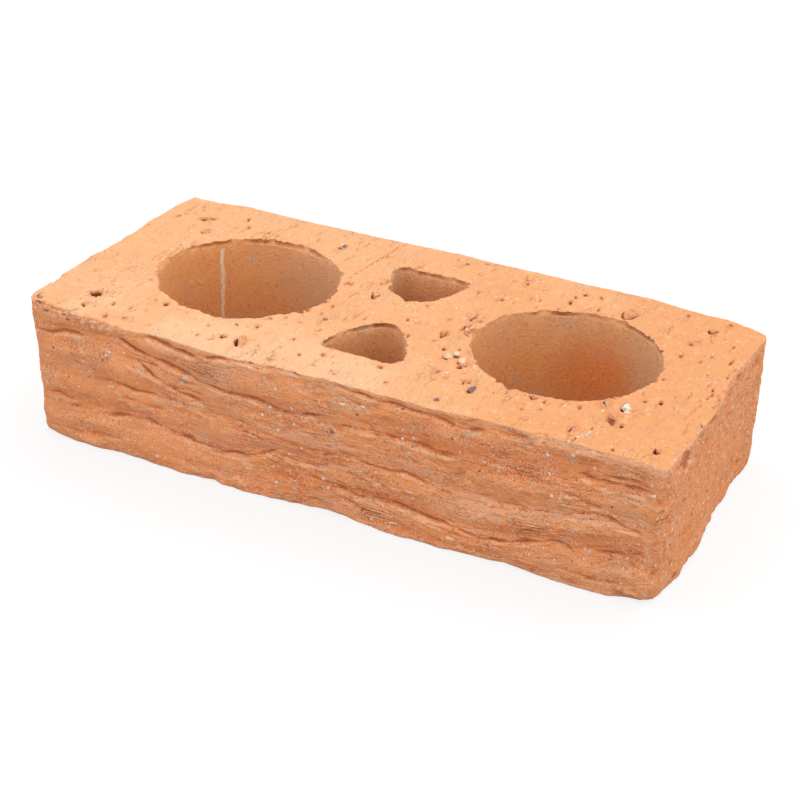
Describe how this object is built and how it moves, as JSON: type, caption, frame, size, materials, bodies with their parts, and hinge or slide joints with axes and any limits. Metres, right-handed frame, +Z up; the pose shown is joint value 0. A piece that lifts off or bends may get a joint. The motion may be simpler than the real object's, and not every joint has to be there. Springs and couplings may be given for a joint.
{
  "type": "perforated clay brick",
  "caption": "Fired clay facing brick with rusticated long faces, plane wire-cut beds, round and wedge-shaped cores running straight through, for laying in courses.",
  "frame": {"origin": "middle of the overall footprint, on the lower bed face", "axes": "+X along the brick's length, +Y across its width towards the back long face, +Z up through the cores"},
  "size_m": [0.2258, 0.1076, 0.05],
  "materials": {
    "fired_clay": "matte"
  },
  "bodies": {
    "root": {"clay_brick": "fired_clay"}
  },
  "joints": []
}
